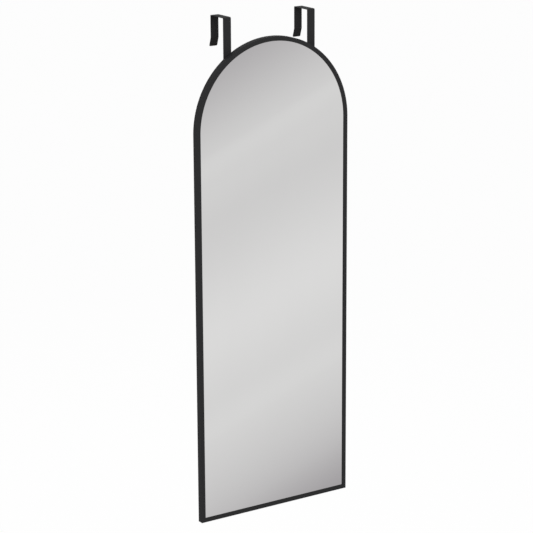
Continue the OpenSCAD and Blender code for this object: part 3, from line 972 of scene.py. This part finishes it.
def finish_plain_nodes():
    """Flat or hidden nodes keep their CAD shape and take a real finish."""
    finishes = {
        "corner_key_left": ALUMINIUM, "corner_key_right": ALUMINIUM, "silver_coating": SILVER,
        "safety_film": FILM, "foam_tape": WHITE_FOAM, "backing_board": BOARD,
        "setting_blocks": RUBBER, "side_spacers": RUBBER, "hanger_nuts": ZINC,
    }
    for node, material in finishes.items():
        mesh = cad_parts[node].data
        mesh.materials.clear()
        mesh.materials.append(material)


# ---------------------------------------------------------------- stage, light and camera

# The background's white for camera, mirror and glass, and the level that lights the object
WHITE = 0.982
WORLD_LIGHT = 0.84
# With the lit floor's own share, the glow brings the floor to the same white
FLOOR_GREY = (0.5, 0.5, 0.5, 1)
FLOOR_SHARE = 0.08
FLOOR_GLOW = 1.03
FLOOR_Z = -2.0
FLOOR_HALF = 40.0
CARD_CENTRE = Vector((0, 0, -0.6))
CARD_R = 3.0
# The card's greys run along this direction, and repeat back and forth
CARD_RUN = Vector((0.31, 0.48, -0.82))
CARD_START = -0.35
CARD_SPAN = 1.65
# Where along the run each grey stands
CARD_SHADES = [
    (0.00, 0.44), (0.19, 0.70), (0.25, 0.715), (0.34, 0.695), (0.52, 0.79), (0.65, 0.745),
    (0.73, 0.735), (0.88, 0.56), (1.00, 0.34),
]
# Shades below the light one lose a little green, in this share of the difference
CARD_LIGHT = 0.72
CARD_TINT = 0.045

# Both lamps point a little above the mirror's middle
LAMP_AIM = Vector((0, 0, -0.5))

# The photograph's viewpoint: angles in degrees, focal length and width in its pixels
CAMERA_AT = (-2.538, -3.9205, 0.7065)
CAMERA_AZIMUTH = -32.99
CAMERA_ELEVATION = 15.42
CAMERA_ROLL = -0.30
FOCAL_PX = 2128
IMAGE_PX = 533
SENSOR_MM = 36


def floor():
    """A pale floor below the mirror, as far down as a door's foot; clear from underneath."""
    bm = bmesh.new()
    bmesh.ops.create_grid(bm, x_segments=1, y_segments=1, size=FLOOR_HALF)
    bmesh.ops.translate(bm, verts=bm.verts[:], vec=(0, 0, FLOOR_Z))
    piece = as_piece(bm, "studio_floor")
    material, tree = bare_material("studio_floor")
    diffuse = put(tree, "ShaderNodeBsdfDiffuse", {"Color": FLOOR_GREY}).outputs[0]
    glow = put(tree, "ShaderNodeEmission", {"Color": (1, 1, 1, 1), "Strength": FLOOR_GLOW})
    seen = put(tree, "ShaderNodeLightPath").outputs["Is Camera Ray"]
    share = math_node(tree, "MULTIPLY", seen, 1 - FLOOR_SHARE)
    top = put(tree, "ShaderNodeMixShader", {0: share, 1: diffuse, 2: glow.outputs[0]})
    underneath = put(tree, "ShaderNodeNewGeometry").outputs["Backfacing"]
    clear = put(tree, "ShaderNodeBsdfTransparent", {"Color": (1, 1, 1, 1)}).outputs[0]
    both = put(tree, "ShaderNodeMixShader", {0: underneath, 1: top.outputs[0], 2: clear})
    put(tree, "ShaderNodeOutputMaterial", {"Surface": both.outputs[0]})
    piece.data.materials.append(material)
    piece.visible_glossy = False


def reflection_card():
    """A shaded card all round the object, seen only in reflections and through glass."""
    bm = bmesh.new()
    bmesh.ops.create_uvsphere(bm, u_segments=96, v_segments=48, radius=CARD_R)
    bmesh.ops.translate(bm, verts=bm.verts[:], vec=CARD_CENTRE)
    piece = as_piece(bm, "reflection_card")
    material, tree = bare_material("reflection_card")
    place = put(tree, "ShaderNodeTexCoord").outputs["Object"]
    run = put(tree, "ShaderNodeVectorMath", {0: place, 1: CARD_RUN.normalized()},
              operation="DOT_PRODUCT").outputs["Value"]
    run = math_node(tree, "SUBTRACT", run, CARD_START)
    run = math_node(tree, "DIVIDE", run, CARD_SPAN)
    run = math_node(tree, "PINGPONG", run, 1.0)
    ramp = put(tree, "ShaderNodeValToRGB", {"Fac": run})
    ramp.color_ramp.interpolation = "CARDINAL"
    stops = ramp.color_ramp.elements
    while len(stops) < len(CARD_SHADES):
        stops.new(0.5)
    for stop, (position, grey) in zip(stops, CARD_SHADES):
        stop.position = position
        stop.color = (grey, grey - CARD_TINT * max(0, CARD_LIGHT - grey), grey, 1)
    glow = put(tree, "ShaderNodeEmission", {"Color": ramp.outputs["Color"], "Strength": 1.0})
    put(tree, "ShaderNodeOutputMaterial", {"Surface": glow.outputs[0]})
    piece.data.materials.append(material)
    shade(piece, angle=180)
    piece.visible_camera = False
    piece.visible_diffuse = False
    piece.visible_shadow = False


def world_light():
    """Even pale light from all round."""
    world = bpy.data.worlds.new("studio")
    SCENE.world = world
    world.use_nodes = True
    tree = world.node_tree
    tree.nodes.clear()
    path = put(tree, "ShaderNodeLightPath").outputs
    seen = math_node(tree, "MAXIMUM", path["Is Camera Ray"], path["Is Glossy Ray"])
    seen = math_node(tree, "MAXIMUM", seen, path["Is Transmission Ray"])
    level = spread(tree, seen, 0, 1, to_low=WORLD_LIGHT, to_high=WHITE)
    back = put(tree, "ShaderNodeBackground", {"Color": (1, 1, 1, 1), "Strength": level})
    put(tree, "ShaderNodeOutputWorld", {"Surface": back.outputs[0]})


def soft_lamp(name, place, side, power):
    """A large soft square lamp that isn't itself seen in the mirror."""
    data = bpy.data.lights.new(name, "AREA")
    data.shape = "RECTANGLE"
    data.size = data.size_y = side
    data.energy = power
    lamp = bpy.data.objects.new(name, data)
    lamp.location = place
    lamp.rotation_mode = "QUATERNION"
    lamp.rotation_quaternion = (LAMP_AIM - Vector(place)).to_track_quat("-Z", "Y")
    lamp.visible_glossy = False
    lamp.visible_camera = False
    SCENE.collection.objects.link(lamp)


def camera():
    """The photograph's viewpoint: from the left, a little above, through a long lens."""
    angles = (CAMERA_AZIMUTH, CAMERA_ELEVATION, CAMERA_ROLL)
    azimuth, elevation, roll = (math.radians(a) for a in angles)
    data = bpy.data.cameras.new("camera")
    data.sensor_width = SENSOR_MM
    data.lens = SENSOR_MM * FOCAL_PX / IMAGE_PX
    data.clip_end = 5 * FLOOR_HALF
    back = Vector((math.sin(azimuth) * math.cos(elevation),
                   -math.cos(azimuth) * math.cos(elevation), math.sin(elevation)))
    turn = (-back).to_track_quat("-Z", "Y") @ Quaternion((0, 0, 1), roll)
    eye = bpy.data.objects.new("camera", data)
    eye.location = CAMERA_AT
    eye.rotation_mode = "QUATERNION"
    eye.rotation_quaternion = turn
    SCENE.collection.objects.link(eye)
    SCENE.camera = eye


SCENE.view_settings.view_transform = "Standard"
camera()
world_light()
floor()
reflection_card()
soft_lamp("key_lamp", place=(-0.5, -2.8, 1.3), side=1.6, power=34)
soft_lamp("rear_lamp", place=(1.2, 2.6, 1.3), side=1.4, power=44)
build_pieces()
finish_plain_nodes()
